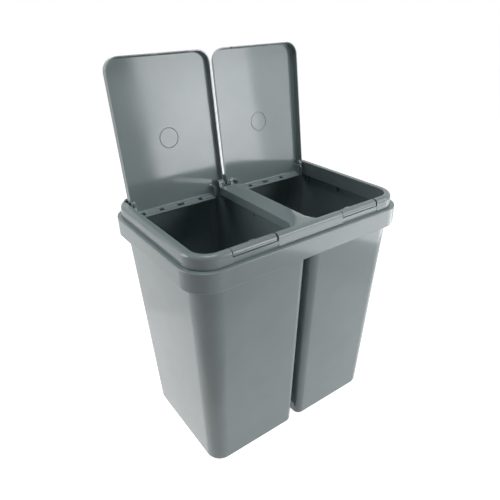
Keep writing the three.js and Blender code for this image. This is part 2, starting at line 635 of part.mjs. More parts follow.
/** Thin moulded ring on the underside. */
function ringBead(y) {
  const profile = [
    new THREE.Vector2(LID_RING_RADIUS - LID_RING_BEAD, 0),
    new THREE.Vector2(LID_RING_RADIUS + LID_RING_BEAD, 0),
    new THREE.Vector2(LID_RING_RADIUS + LID_RING_BEAD, LID_WALL),
    new THREE.Vector2(LID_RING_RADIUS - LID_RING_BEAD, LID_WALL),
    new THREE.Vector2(LID_RING_RADIUS - LID_RING_BEAD, 0),
  ];
  const geometry = new THREE.LatheGeometry(profile, 36);
  geometry.rotateX(0.5 * Math.PI);
  geometry.translate(0, y, LID_RISE - LID_WALL - LID_RING_BEAD);
  return solid(geometry);
}

// ---------------------------------------------------------------- latches
/** The latch stands nearer its pocket's left end. */
function latchShift() {
  return (LATCH_END_GAP - LATCH_FREE_GAP) / 2;
}

/** Front face and bottom of the guide legs under the latch. */
function latchLegFront() {
  return -FRAME_HALF_DEPTH + FINGER_RECESS + FRAME_WALL + LATCH_TRAVEL;
}

function latchLegBottom() {
  return POCKET_FLOOR - LATCH_LEG;
}

/** One latch bar, at its place in the front wall. */
function makeLatch(side) {
  const middle = side * LATCH_MIDDLE + latchShift();
  const x0 = middle - LATCH_LENGTH / 2;
  const x1 = middle + LATCH_LENGTH / 2;
  const front = -FRAME_HALF_DEPTH + FRAME_DRAFT;
  const rear = OPENING_FRONT - LATCH_PLAY;
  const low = FRAME_TOP - LATCH_HEIGHT;
  const crest = quarterRound(FRAME_EDGE_ROUND).map(([rise, inset]) => {
    return [front + inset, FRAME_TOP - FRAME_EDGE_ROUND + rise];
  });
  const bar = extrudeAlongX([[rear, FRAME_TOP], ...crest.reverse(), [front, low], [rear, low]], x0, x1);
  const barTop = HINGE_Z + LID_RIM + CATCH_BAR_RELIEF + CATCH_BAR;
  const hookTip = OPENING_FRONT + LID_FRONT_PLAY + LID_WALL + HOOK_ENGAGEMENT;
  const hookHalf = CATCH_WIDTH / 2 - 2 * LATCH_PLAY;
  const hookMiddle = side * LID_MIDDLE + CATCH_OFFSET;
  const hookLow = barTop + LATCH_PLAY;
  const hook = extrudeAlongX([
    [rear - FRAME_WALL, hookLow],
    [hookTip, hookLow],
    [hookTip, hookLow + HOOK_HEIGHT / 2],
    [rear, hookLow + HOOK_HEIGHT],
    [rear - FRAME_WALL, hookLow + HOOK_HEIGHT],
  ], hookMiddle - hookHalf, hookMiddle + hookHalf);
  const padHalf = HOOK_PAD_WIDTH / 2;
  const pad = block(hookMiddle - padHalf, hookMiddle + padHalf, rear - FRAME_WALL, rear + HOOK_PAD_REACH,
    hookLow, hookLow + HOOK_HEIGHT);
  let body = bar.add(hook).add(pad);
  for (const end of [-1, 1]) {
    const leg = middle + end * (LATCH_LENGTH / 2 - 2 * LATCH_LEG);
    body = body.add(block(leg - LATCH_LEG / 2, leg + LATCH_LEG / 2, latchLegFront(),
      latchLegFront() + LATCH_LEG, latchLegBottom(), low + FRAME_WALL));
  }
  return body;
}

// ---------------------------------------------------------------- assembly
const SILVER_GREY = new THREE.Color(0x8d9698);

/** A moulded polypropylene finish. */
function polypropylene() {
  return new THREE.MeshStandardMaterial({ color: SILVER_GREY, roughness: 0.34, metalness: 0 });
}

/** A named mesh for one moulded piece. */
function piece(name, body) {
  const mesh = new THREE.Mesh(geometryOf(body), polypropylene());
  mesh.name = name;
  return mesh;
}

const bin = new THREE.Group();
bin.add(piece('twin_tub', makeTub()));
bin.add(piece('lid_frame', makeFrame()));
for (const [name, side] of [['left', -1], ['right', 1]]) {
  const lid = piece(`${name}_lid`, makeLid(side));
  lid.position.set(side * LID_MIDDLE, HINGE_Y, HINGE_Z);
  lid.rotation.x = THREE.MathUtils.degToRad(-LID_OPEN_ANGLE);
  bin.add(lid);
  bin.add(piece(`${name}_latch`, makeLatch(side)));
}

export default bin;
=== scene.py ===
"""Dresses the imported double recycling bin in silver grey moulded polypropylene, on a pale floor."""

import logging
import math
from dataclasses import dataclass
from enum import Enum
from typing import Any, Callable, Iterable, Sequence

import bmesh
import bpy
from mathutils import Matrix, Vector


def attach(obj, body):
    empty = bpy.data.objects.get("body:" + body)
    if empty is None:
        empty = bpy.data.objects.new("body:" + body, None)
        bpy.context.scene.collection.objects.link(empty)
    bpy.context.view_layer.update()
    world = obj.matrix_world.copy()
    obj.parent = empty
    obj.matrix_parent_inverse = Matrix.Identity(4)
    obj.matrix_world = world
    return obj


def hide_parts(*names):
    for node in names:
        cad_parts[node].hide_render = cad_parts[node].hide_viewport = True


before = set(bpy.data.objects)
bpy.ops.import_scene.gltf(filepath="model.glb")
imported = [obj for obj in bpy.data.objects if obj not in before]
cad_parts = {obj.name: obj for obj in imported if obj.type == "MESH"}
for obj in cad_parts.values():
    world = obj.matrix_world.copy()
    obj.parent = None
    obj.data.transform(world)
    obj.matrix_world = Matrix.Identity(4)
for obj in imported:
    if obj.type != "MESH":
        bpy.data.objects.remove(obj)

LOG = logging.getLogger("recycling_bin")
MM = 0.001
Pair = tuple[float, float]
Triple = tuple[float, float, float]
Piece = bpy.types.Object
TIGHTEST = 0.4  # the smallest plan corner that an inset leaves, in millimetres
PAST = 2.0  # how far a cutter, or the root of a lug, reaches past the face that it meets
SLIVER = 0.02  # keeps two cuts from sharing a face


# ---------------- outlines and workpieces
@dataclass(frozen=True)
class Plan:
    """A rectangular plan outline with its own radius at each corner, in millimetres."""

    x0: float
    x1: float
    y0: float
    y1: float
    corners: tuple[float, float, float, float]

    def inset(self, distance: float) -> "Plan":
        """Returns the outline moved inwards by a distance, or outwards where it is negative."""
        corners = tuple(max(radius - distance, TIGHTEST) for radius in self.corners)
        return Plan(self.x0 + distance, self.x1 - distance,
                    self.y0 + distance, self.y1 - distance, corners)

    def toward(self, other: "Plan", share: float) -> "Plan":
        """Returns the outline that lies between this one and another.

        Args:
            other: the outline at share 1.
            share: how far to go, from 0 to 1.

        Returns:
            The blended outline.
        """

        def mix(a: float, b: float) -> float:
            """Blends two numbers."""
            return a + (b - a) * share

        corners = tuple(mix(a, b) for a, b in zip(self.corners, other.corners))
        return Plan(mix(self.x0, other.x0), mix(self.x1, other.x1), mix(self.y0, other.y0),
                    mix(self.y1, other.y1), corners)

    def mirrored(self) -> "Plan":
        """Returns the outline on the other side of the middle plane."""
        a, b, c, d = self.corners
        return Plan(-self.x1, -self.x0, self.y0, self.y1, (b, a, d, c))

    def points(self) -> list[Triple]:
        """Returns the corners as (x, y, radius), anticlockwise from above."""
        a, b, c, d = self.corners
        return [(self.x0, self.y0, a), (self.x1, self.y0, b),
                (self.x1, self.y1, c), (self.x0, self.y1, d)]


def quarter_round(radius: float, steps: int = 5) -> list[Pair]:
    """Returns (rise, inset) steps of a rounded edge, from the upright face to the flat one."""
    angles = [step / steps * math.pi / 2 for step in range(steps + 1)]
    return [(radius * math.sin(angle), radius * (1 - math.cos(angle))) for angle in angles]


def unique(items: Iterable[Any]) -> list[Any]:
    """Returns the items without repeats, always in the same order."""
    return list(dict.fromkeys(items))


class Workpiece:
    """A mesh in the making, in millimetres, shaped with mesh operators."""

    ROD_STEPS = 36
    MERGE_DISTANCE = 1e-4

    def __init__(self, arc_steps: int = 8) -> None:
        """Starts an empty workpiece whose rounded corners have this many steps."""
        self.bm = bmesh.new()
        self.arc_steps = arc_steps

    def polygon(self, points: Sequence[Triple], place: Callable[[float, float], Vector],
                keep_face: bool = False) -> list[Any]:
        """Draws a closed polygon and rounds its corners.

        Args:
            points: (u, v, radius) for each corner, in order.
            place: turns (u, v) into a place in space.
            keep_face: leave the polygon filled.

        Returns:
            The outline's edges, or the face in a list where keep_face is set.
        """
        verts = [self.bm.verts.new(place(u, v)) for u, v, _ in points]
        face = self.bm.faces.new(verts)
        for vert, (_, _, radius) in zip(verts, points):
            if radius <= 0:
                continue
            made = bmesh.ops.bevel(self.bm, geom=[vert], offset=radius, offset_type="OFFSET",
                                   segments=self.arc_steps, profile=0.5, affect="VERTICES",
                                   material=-1, clamp_overlap=False)
            face = next(f for f in made["verts"][0].link_faces)
        if keep_face:
            return [face]
        edges = list(face.edges)
        bmesh.ops.delete(self.bm, geom=[face], context="FACES_ONLY")
        return edges

    def outline(self, plan: Plan | Sequence[Triple], z: float) -> list[Any]:
        """Draws a plan outline at a height and returns its edges."""
        points = plan.points() if isinstance(plan, Plan) else plan
        return self.polygon(points, lambda u, v: Vector((u, v, z)))

    def bridge(self, *loops: list[Any]) -> None:
        """Skins the loops in order, each to the next."""
        for low, high in zip(loops, loops[1:]):
            bmesh.ops.bridge_loops(self.bm, edges=list(low) + list(high))

    def skin(self, sections: Iterable[tuple[float, Any]]) -> list[list[Any]]:
        """Draws outlines at their heights, bridges them in order and returns all their loops."""
        loops = [self.outline(plan, z) for z, plan in sections]
        self.bridge(*loops)
        return loops

    def fill(self, *loops: list[Any]) -> None:
        """Fills a flat face between an outer loop and any holes in it."""
        edges = [edge for loop in loops for edge in loop]
        bmesh.ops.triangle_fill(self.bm, use_beauty=True, use_dissolve=False, edges=edges,
                                normal=(0, 0, 1))

    def solid(self, sections: Iterable[tuple[float, Any]], name: str) -> Piece:
        """Skins the sections, closes both ends and returns the finished object."""
        loops = self.skin(sections)
        self.fill(loops[0])
        self.fill(loops[-1])
        return self.release(name)

    def ease(self, edges: list[Any], width: float, segments: int = 2) -> None:
        """Bevels edges by a width."""
        bmesh.ops.bevel(self.bm, geom=edges, offset=width, offset_type="OFFSET", segments=segments,
                        profile=0.5, affect="EDGES", material=-1, clamp_overlap=True)

    def bar(self, profile: Sequence[Triple], x0: float, x1: float, edge: float = 0.0) -> None:
        """Extrudes a (y, z, radius) profile along X, with eased end edges.

        Args:
            profile: the corners of the side view.
            x0: where the bar starts.
            x1: where it ends.
            edge: width of the bevel on its end edges, or 0.
        """
        face = self.polygon(profile, lambda u, v: Vector((x0, u, v)), keep_face=True)[0]
        made = bmesh.ops.extrude_face_region(self.bm, geom=[face], use_keep_orig=True)
        far = [item for item in made["geom"] if isinstance(item, bmesh.types.BMVert)]
        bmesh.ops.translate(self.bm, verts=far, vec=Vector((x1 - x0, 0, 0)))
        far_face = next(item for item in made["geom"] if isinstance(item, bmesh.types.BMFace))
        if edge > 0:
            self.ease(list(face.edges) + list(far_face.edges), edge)

    def block(self, low: Sequence[float], high: Sequence[float], edge: float = 0.0) -> None:
        """Adds a box between two corners, with its edges eased by a width."""
        size = Vector(high) - Vector(low)
        middle = (Vector(high) + Vector(low)) / 2
        made = bmesh.ops.create_cube(self.bm, size=1.0)
        bmesh.ops.scale(self.bm, verts=made["verts"], vec=size)
        bmesh.ops.translate(self.bm, verts=made["verts"], vec=middle)
        if edge > 0:
            self.ease(unique(e for vert in made["verts"] for e in vert.link_edges), edge)

    def rod(self, radius: float, middle: Sequence[float], x0: float, x1: float,
            edge: float = 0.0) -> None:
        """Adds a round pin along X.

        Args:
            radius: the pin's radius.
            middle: the (y, z) of its axis.
            x0: where it starts.
            x1: where it ends.
            edge: width of the bevel on its end edges, or 0.
        """
        made = bmesh.ops.create_cone(self.bm, cap_ends=True, segments=self.ROD_STEPS,
                                     radius1=radius, radius2=radius, depth=x1 - x0)
        turn = Matrix.Rotation(math.pi / 2, 3, "Y")
        bmesh.ops.rotate(self.bm, verts=made["verts"], cent=(0, 0, 0), matrix=turn)
        place = Vector(((x0 + x1) / 2, middle[0], middle[1]))
        bmesh.ops.translate(self.bm, verts=made["verts"], vec=place)
        if edge > 0:
            around = unique(face for vert in made["verts"] for face in vert.link_faces)
            ends = [face for face in around if len(face.verts) > 4]
            self.ease(unique(e for face in ends for e in face.edges), edge, segments=3)

    def release(self, name: str) -> Piece:
        """Closes the workpiece into an object in metres.

        Args:
            name: the piece's name.

        Returns:
            The linked object, at the origin.
        """
        bmesh.ops.remove_doubles(self.bm, verts=self.bm.verts[:], dist=self.MERGE_DISTANCE)
        bmesh.ops.recalc_face_normals(self.bm, faces=self.bm.faces[:])
        if self.bm.calc_volume(signed=True) < 0:
            bmesh.ops.reverse_faces(self.bm, faces=self.bm.faces[:])
        bmesh.ops.scale(self.bm, verts=self.bm.verts[:], vec=Vector((MM, MM, MM)))
        mesh = bpy.data.meshes.new(name)
        self.bm.to_mesh(mesh)
        self.bm.free()
        return put_in_scene(name, mesh)


def put_in_scene(name: str, data: bpy.types.ID) -> Piece:
    """Makes an object of a mesh, lamp or camera, and links it."""
    made = bpy.data.objects.new(name, data)
    bpy.context.scene.collection.objects.link(made)
    return made


class Joint(Enum):
    """How one closed mesh is combined with another."""

    ADD = "UNION"
    CUT = "DIFFERENCE"


def combine(piece: Piece, tool: Piece, joint: Joint) -> None:
    """Adds one closed mesh to another or cuts it out, for good, and removes the tool."""
    step = piece.modifiers.new("Combine", "BOOLEAN")
    step.operation = joint.value
    step.solver = "EXACT"
    step.object = tool
    graph = bpy.context.evaluated_depsgraph_get()
    result = bpy.data.meshes.new_from_object(piece.evaluated_get(graph))
    piece.modifiers.clear()
    piece.data = result
    bpy.data.objects.remove(tool)


def weld(piece: Piece, other: Piece) -> None:
    """Makes another closed mesh part of a piece, as ribs and lugs are part of a moulding."""
    work = bmesh.new()
    work.from_mesh(piece.data)
    work.from_mesh(other.data)
    work.to_mesh(piece.data)
    work.free()
    bpy.data.objects.remove(other)


def dress(piece: Piece, finish: bpy.types.Material, body: str, node: str) -> Piece:
    """Gives a finished piece its shading and material, and lets it stand for its CAD node.

    Args:
        piece: the finished piece.
        finish: its material.
        body: the body that it moves with.
        node: the CAD node that it replaces.

    Returns:
        The piece.
    """
    piece.data.materials.clear()
    piece.data.materials.append(finish)
    smooth(piece)
    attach(piece, body)
    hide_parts(node)
    return piece


def smooth(piece: Piece, angle: float = 32.0, weight: int = 80) -> None:
    """Shades a piece smooth up to an angle, with its wide faces kept flat.

    Args:
        piece: the piece to shade.
        angle: the sharpest edge, in degrees, that is still shaded smooth.
        weight: how far wide faces outweigh the narrow faces of a rounded edge.
    """
    for face in piece.data.polygons:
        face.use_smooth = True
    piece.data.set_sharp_from_angle(angle=math.radians(angle))
    weigh = piece.modifiers.new("Weighted normals", "WEIGHTED_NORMAL")
    weigh.keep_sharp = True
    weigh.weight = weight


# ---------------- finishes
def linear(hex_colour: str) -> tuple[float, float, float, float]:
    """Turns an sRGB hex colour into linear RGBA."""
    parts = [int(hex_colour[i:i + 2], 16) / 255 for i in (1, 3, 5)]
    shares = [c / 12.92 if c <= 0.04045 else ((c + 0.055) / 1.055) ** 2.4 for c in parts]
    return (*shares, 1.0)


def add_node(tree: bpy.types.NodeTree, kind: str, settings: dict[str, Any] | None = None,
             inputs: dict[str | int, Any] | None = None) -> bpy.types.Node:
    """Adds a node with its settings and inputs.

    Args:
        tree: the node tree.
        kind: the node's type name.
        settings: attributes of the node.
        inputs: values, or output sockets to link, by input name or number.

    Returns:
        The new node.
    """
    node = tree.nodes.new(kind)
    for key, value in (settings or {}).items():
        setattr(node, key, value)
    for key, value in (inputs or {}).items():
        socket = node.inputs[key]
        if isinstance(value, bpy.types.NodeSocket):
            tree.links.new(value, socket)
        else:
            socket.default_value = value
    return node


@dataclass(frozen=True)
class MouldedPolypropylene:
    """Injection-moulded polypropylene with a fine metallic pigment, from a semi-gloss steel mould.

    It gives the eye a silver grey with a soft cloudiness where the melt flowed, a skin that
    mirrors bright areas a little blurred, and faint waves in those reflections.
    """

    name: str
    colour: str
    shade: str
    roughness: float = 0.11
    gloss_spread: float = 0.03
    flow_mm: float = 90.0
    wave_mm: float = 55.0
    wave_depth_mm: float = 0.12
    # The mould's own texture is finer than 0.1 mm. It is drawn coarser than that to show at all.
    grain_mm: float = 0.9
    grain_depth_mm: float = 0.01

    def noise(self, tree: bpy.types.NodeTree, place: bpy.types.Node, size_mm: float, detail: float,
              roughness: float) -> bpy.types.NodeSocket:
        """Adds a noise whose cells have a real size.

        Args:
            tree: the node tree.
            place: the texture coordinate node.
            size_mm: the size of a cell.
            detail: how many finer layers it has.
            roughness: how strong they are.

        Returns:
            The noise's value.
        """
        scale = 1 / (size_mm * MM)
        node = add_node(tree, "ShaderNodeTexNoise", {"noise_dimensions": "3D"},
                        {"Vector": place.outputs["Object"], "Scale": scale, "Detail": detail,
                         "Roughness": roughness})
        return node.outputs["Fac"]

    def build(self) -> bpy.types.Material:
        """Makes the material and returns it."""
        material = bpy.data.materials.new(self.name)
        material.use_nodes = True
        tree = material.node_tree
        tree.nodes.clear()
        place = add_node(tree, "ShaderNodeTexCoord")
        flow = self.noise(tree, place, self.flow_mm, 3.0, 0.5)
        wave = self.noise(tree, place, self.wave_mm, 1.0, 0.4)
        grain = self.noise(tree, place, self.grain_mm, 2.0, 0.6)
        tint = add_node(tree, "ShaderNodeValToRGB", None, {"Fac": flow})
        dark, light = tint.color_ramp.elements
        dark.position, light.position = 0.3, 0.7
        dark.color, light.color = linear(self.shade), linear(self.colour)
        swell = add_node(tree, "ShaderNodeBump", None,
                         {"Height": wave, "Strength": 1.0, "Distance": self.wave_depth_mm * MM})
        skin = add_node(tree, "ShaderNodeBump", None,
                        {"Height": grain, "Strength": 0.25, "Distance": self.grain_depth_mm * MM,
                         "Normal": swell.outputs["Normal"]})
        gloss = add_node(tree, "ShaderNodeMapRange", None,
                         {"Value": flow, "From Min": 0.3, "From Max": 0.7,
                          "To Min": self.roughness + self.gloss_spread,
                          "To Max": self.roughness - self.gloss_spread})
        shader = add_node(tree, "ShaderNodeBsdfPrincipled", None,
                          {"Base Color": tint.outputs["Color"], "Metallic": 0.0, "IOR": 1.49,
                           "Roughness": gloss.outputs["Result"], "Normal": skin.outputs["Normal"]})
        add_node(tree, "ShaderNodeOutputMaterial", None, {"Surface": shader.outputs["BSDF"]})
        return material


# ---------------- sizes shared by several pieces
@dataclass(frozen=True)
class BinSizes:
    """Sizes that several mouldings share, in millimetres."""

    ledge: float = 450.0
    seat_gap: float = 0.3
    frame_top: float = 473.0
    opening_half: float = 207.5
    opening_front: float = -142.0
    opening_rear: float = 143.0
    frame_half_length: float = 223.5
    frame_half_depth: float = 154.0
    crossbar_top: float = 466.7
    hinge_y: float = 113.0
    hinge_z: float = 470.5
    lid_outer: float = 205.7
    lid_inner: float = 2.4
    lid_rise: float = 10.6
    lid_skirt: float = 16.5
    tail_outer_inset: float = 9.0
    tail_inner_inset: float = 25.2
    inner_lug: float = 9.5
    lug_thickness: float = 4.0
    bracket_width: float = 7.0
    side_play: float = 0.5
    catch_offset: float = -8.3
    latch_middle: float = 114.5
    latch_length: float = 83.2
    latch_end_gap: float = 1.2
    latch_free_gap: float = 3.6
    latch_height: float = 10.6
    latch_floor_gap: float = 1.4

    @property
    def lid_middle(self) -> float:
        """Returns the distance from the middle plane to a lid's own middle."""
        return (self.lid_outer + self.lid_inner) / 2

    @property
    def lid_rim(self) -> float:
        """Returns the height of a shut lid's rim above the hinge axis."""
        return self.lid_rise - self.lid_skirt

    @property
    def pocket_half(self) -> float:
        """Returns half the length of a latch pocket."""
        return (self.latch_length + self.latch_end_gap + self.latch_free_gap) / 2


SIZES = BinSizes()


class Side(Enum):
    """The two halves of the bin, as seen from the front."""

    LEFT = -1
    RIGHT = 1

    def span(self, near: float, far: float) -> Pair:
        """Returns an X range given as distances from the middle plane."""
        return (near, far) if self is Side.RIGHT else (-far, -near)


# ---------------- the tub
@dataclass
class TwinTub:
    """Two drafted buckets under one turned-over rim, a single moulding."""

    finish: bpy.types.Material
    wall: float = 2.4
    rim: Plan = Plan(-230.5, 230.5, -161.0, 161.0, (48.0,) * 4)
    mouth: Plan = Plan(5.2, 218.0, -155.0, 155.0, (18.0, 45.0, 45.0, 18.0))
    base: Plan = Plan(7.0, 199.6, -124.5, 124.5, (15.0, 30.0, 30.0, 15.0))
    skirt: float = 35.7
    base_round: float = 10.5
    base_recess: float = 2.0
    base_ring: float = 12.0
    base_step: float = 0.5
    fillet: float = 1.6
    mouth_edge: float = 1.2
    ledge_edge: float = 2.0
    foot_edge: float = 1.9
    levels: tuple[float, ...] = (60.0, 150.0, 250.0, 350.0, 430.0)
    end_ribs: tuple[float, ...] = (-92.0, 0.0, 92.0)
    end_rib_span: Pair = (209.0, 229.3)
    long_ribs: tuple[float, ...] = (-156.4, -64.4, 64.4, 156.4)
    long_rib_span: Pair = (146.0, 159.8)
    rib_half: float = 0.9
    rib_foot: float = 20.0
    rib_head: float = 1.2
    rib_ease: float = 0.3
    cross_walls: Pair = (-10.5, -4.0)
    cross_height: float = 436.1
    cross_arm: float = 2.9
    cross_width: float = 0.9

    def bucket(self, side: Side, z: float, inset: float = 0.0) -> Plan:
        """Returns one bucket's plan outline at a height, moved inwards by an inset."""
        plan = self.base.toward(self.mouth, z / SIZES.ledge).inset(inset)
        return plan if side is Side.RIGHT else plan.mirrored()

    def outside(self, work: Workpiece, side: Side) -> list[Any]:
        """Skins one bucket's outside from its base to the ledge and returns its top loop."""
        inner = self.base_round + self.base_ring
        underside = SIZES.ledge - self.wall
        sections = [(self.base_recess, self.bucket(side, 0, inner + self.base_recess)),
                    (self.base_step, self.bucket(side, 0, inner + self.base_step)),
                    (0.0, self.bucket(side, 0, inner))]
        sections += [(self.base_round - rise, self.bucket(side, self.base_round - rise, inset))
                     for rise, inset in reversed(quarter_round(self.base_round, 7))]
        sections += [(z, self.bucket(side, z)) for z in self.levels]
        sections += [(underside - self.fillet + rise, self.bucket(side, underside, -inset))
                     for rise, inset in quarter_round(self.fillet, 4)]
        loops = work.skin(sections)
        work.fill(loops[0])
        return loops[-1]

    def inside(self, work: Workpiece, side: Side) -> list[Any]:
        """Skins one bucket's cavity from its mouth to its floor and returns its top loop."""
        edge = self.mouth_edge
        floor = self.base_recess + self.wall
        radius = self.base_round - self.wall
        sections = [(SIZES.ledge - edge + rise, self.bucket(side, SIZES.ledge, self.wall - inset))
                    for rise, inset in reversed(quarter_round(edge, 4))]
        sections += [(z, self.bucket(side, z, self.wall)) for z in reversed(self.levels)]
        heights = [(floor + radius - rise, inset) for rise, inset in quarter_round(radius, 7)]
        sections += [(z, self.bucket(side, z, self.wall + inset)) for z, inset in heights]
        loops = work.skin(sections)
        work.fill(loops[-1])
        return loops[0]

    def turned_over_rim(self, work: Workpiece) -> tuple[list[Any], list[Any]]:
        """Skins the rim's hanging skirt and returns its loops on the ledge's two faces."""
        foot = SIZES.ledge - self.skirt
        low = SIZES.ledge - self.wall - self.fillet
        sections = [(SIZES.ledge - self.ledge_edge + rise, self.rim.inset(inset))
                    for rise, inset in reversed(quarter_round(self.ledge_edge))]
        sections += [(foot + self.foot_edge - rise, self.rim.inset(inset))
                     for rise, inset in quarter_round(self.foot_edge)]
        sections += [(foot + self.wall - self.foot_edge, self.rim.inset(self.wall)),
                     (low, self.rim.inset(self.wall))]
        sections += [(low + rise, self.rim.inset(self.wall + inset))
                     for rise, inset in quarter_round(self.fillet, 4)[1:]]
        loops = work.skin(sections)
        return loops[0], loops[-1]

    def ribs(self, work: Workpiece) -> None:
        """Adds the gussets that stiffen the turned-over rim from below."""
        low, high, half = SIZES.ledge - self.rib_foot, SIZES.ledge - self.rib_head, self.rib_half
        for y in self.end_ribs:
            for side in Side:
                x0, x1 = side.span(*self.end_rib_span)
                work.block((x0, y - half, low), (x1, y + half, high), self.rib_ease)
        for x in self.long_ribs:
            for wall in Side:
                y0, y1 = wall.span(*self.long_rib_span)
                work.block((x - half, y0, low), (x + half, y1, high), self.rib_ease)

    def punch_cross(self, tub: Piece) -> None:
        """Cuts the small cross-shaped hole through the wall between the buckets."""
        x0, x1 = self.cross_walls
        z = self.cross_height
        for y, rise in ((self.cross_arm, self.cross_width), (self.cross_width, self.cross_arm)):
            hole = Workpiece()
            hole.block((x0, -y, z - rise), (x1, y, z + rise))
            combine(tub, hole.release("cross"), Joint.CUT)

    def build(self) -> Piece:
        """Makes the tub."""
        work = Workpiece(arc_steps=10)
        ledge_outer, under_outer = self.turned_over_rim(work)
        mouths = [self.inside(work, side) for side in Side]
        tops = [self.outside(work, side) for side in Side]
        work.fill(ledge_outer, *mouths)
        work.fill(under_outer, *tops)
        tub = work.release("twin_tub_moulding")
        self.punch_cross(tub)
        ribs = Workpiece()
        self.ribs(ribs)
        weld(tub, ribs.release("ribs"))
        return dress(tub, self.finish, "tub", "twin_tub")


# ---------------- the lid frame
@dataclass
class LidFrame:
    """The ring on the ledge, with its skirt, crossbar, latch pockets and hinge brackets."""

    finish: bpy.types.Material
    wall: float = 2.2
    draft: float = 0.8
    edge_round: float = 7.5
    skirt: float = 30.0
    corner: float = 44.0
    mouth_corner: float = 30.0
    rear_corner: float = 12.0
    # How the edges of the ring's section are eased.
    lip: float = 0.5
    mouth_edge: float = 1.4
    crown_edge: float = 0.4
    skirt_edge: float = 0.6
    corner_step: float = 1.0
    inner_step: float = 0.2
    # The deck between the two mouths.
    crossbar_half: float = 20.0
    crossbar_corner: float = 36.0
    crossbar_tail_corner: float = 2.5
    crossbar_rear: float = 98.0
    crossbar_flare: float = 66.0
    crossbar_crown: float = 1.1
    crossbar_crown_run: float = 17.0
    crossbar_edge: float = 1.6
    crossbar_drop: float = 16.0
    crossbar_lean: float = 1.5
    crossbar_seam: float = 1.5
    crossbar_foot_edge: float = 1.0
    crossbar_bite: float = 0.8
    # The front wall: the latches' pockets, the finger recesses and the notches over the tub's web.
    pocket_front: float = -152.6
    pocket_rear: float = -143.1
    pocket_chamfer: float = 4.8
    pocket_crown: float = 1.0
    cut_front: float = -156.0
    cut_rear: float = -140.0
    recess_face: float = -153.2
    recess_heights: Pair = (449.0, 462.0)
    notch_half: float = 12.5
    notch_foot: float = 440.0
    notches: tuple[Pair, ...] = ((-146.0, -140.0), (140.0, 147.0))
    # The hinge brackets, the neck between the inner two, and the centring lugs.
    bore: float = 3.6
    bore_past: float = 0.5
    snap_half: float = 2.5
    snap_rise: float = 9.0
    bracket_head: float = 6.6
    bracket_ease: float = 0.4
    bracket_front: float = 12.0
    bracket_foot: float = 20.0
    bracket_bury: float = 1.1
    bracket_web: float = 15.0
    bracket_chin: Pair = (4.0, 9.0)
    head_round: float = 6.468
    neck_drop: float = 11.0
    neck_front: float = 17.0
    neck_ease: float = 0.6
    lug_half: float = 13.0
    lug_rise: float = 2.2
    lug_bury: float = 1.0
    lug_end: float = 214.0
    lug_front: float = 151.2
    lug_ease: float = 0.5
    lug_places: Pair = (-46.0, 46.0)

    @property
    def foot(self) -> float:
        """Returns the height of the face that rests on the ledge."""
        return SIZES.ledge + SIZES.seat_gap

    def outer(self, inset: float) -> Plan:
        """Returns the plan outline of the frame's outer wall."""
        x, y = SIZES.frame_half_length, SIZES.frame_half_depth
        return Plan(-x, x, -y, y, (self.corner,) * 4).inset(inset)

    def opening(self, grow: float, rear_corner: float) -> Plan:
        """Returns the plan outline of the whole opening, grown by a distance."""
        x = SIZES.opening_half
        corners = (self.mouth_corner, self.mouth_corner, rear_corner, rear_corner)
        return Plan(-x, x, SIZES.opening_front, SIZES.opening_rear, corners).inset(-grow)

    def ring(self) -> Piece:
        """Makes the ring: an inverted U in section, with a deep inner skirt."""
        top, wall, edge = SIZES.frame_top, self.wall, self.edge_round
        low, foot = top - self.skirt, self.foot
        wide, tight = self.mouth_corner, self.rear_corner
        lip, fold = self.lip, self.skirt_edge
        step = foot + self.inner_step
        sections = [(foot, self.outer(lip)), (foot + lip, self.outer(0.0))]
        sections += [(top - edge + rise, self.outer(self.draft + inset))
                     for rise, inset in quarter_round(edge, 8)]
        sections += [(top - self.mouth_edge + rise, self.opening(inset, tight))
                     for rise, inset in reversed(quarter_round(self.mouth_edge, 4))]
        sections += [(foot + wall, self.opening(0, tight)),
                     (foot + wall - self.corner_step, self.opening(0, wide)),
                     (low + fold, self.opening(0, wide)), (low, self.opening(fold, wide)),
                     (low, self.opening(wall - fold, wide)), (low + fold, self.opening(wall, wide)),
                     (step, self.opening(wall, wide)),
                     (step + self.corner_step, self.opening(wall, tight)),
                     (top - wall - self.crown_edge, self.opening(wall, tight)),
                     (top - wall, self.opening(wall + self.crown_edge, tight))]
        sections += [(top - edge + rise, self.outer(self.draft + wall + inset))
                     for rise, inset in reversed(quarter_round(edge - wall, 4))]
        sections += [(foot + lip, self.outer(wall)), (foot, self.outer(wall - lip))]
        work = Workpiece(arc_steps=10)
        loops = work.skin(sections)
        work.bridge(loops[-1], loops[0])
        return work.release("lid_frame_moulding")

    def crossbar_plan(self, inset: float, front: float) -> list[Triple]:
        """Returns the crossbar's plan outline, flared into the front wall."""
        half, rear = self.crossbar_half - inset, self.crossbar_rear - inset
        corner, tail = self.crossbar_corner + inset, self.crossbar_tail_corner
        wide = self.crossbar_flare
        line = SIZES.opening_front - min(inset, self.crossbar_seam)
        return [(-wide, front, 0.0), (wide, front, 0.0), (wide, line, 0.0), (half, line, corner),
                (half, rear, tail), (-half, rear, tail), (-half, line, corner), (-wide, line, 0.0)]

    def crossbar(self) -> Piece:
        """Makes the crossbar: a crowned deck with rounded edges over two leaning flanks."""
        top = SIZES.crossbar_top
        front = SIZES.opening_front - self.wall * self.crossbar_bite
        low, edge, lean = top - self.crossbar_drop, self.crossbar_edge, self.crossbar_lean
        sections = [(low, self.crossbar_plan(self.crossbar_foot_edge - lean, front)),
                    (low + self.skirt_edge, self.crossbar_plan(-lean, front))]
        sections += [(top - edge + rise, self.crossbar_plan(inset, front))
                     for rise, inset in quarter_round(edge)]
        for share in (0.25, 0.5, 0.75, 1.0):
            crown = self.crossbar_crown * (1 - (1 - share) ** 2)
            inset = edge + share * self.crossbar_crown_run
            sections.append((top + crown, self.crossbar_plan(inset, front)))
        return Workpiece(arc_steps=10).solid(sections, "crossbar")

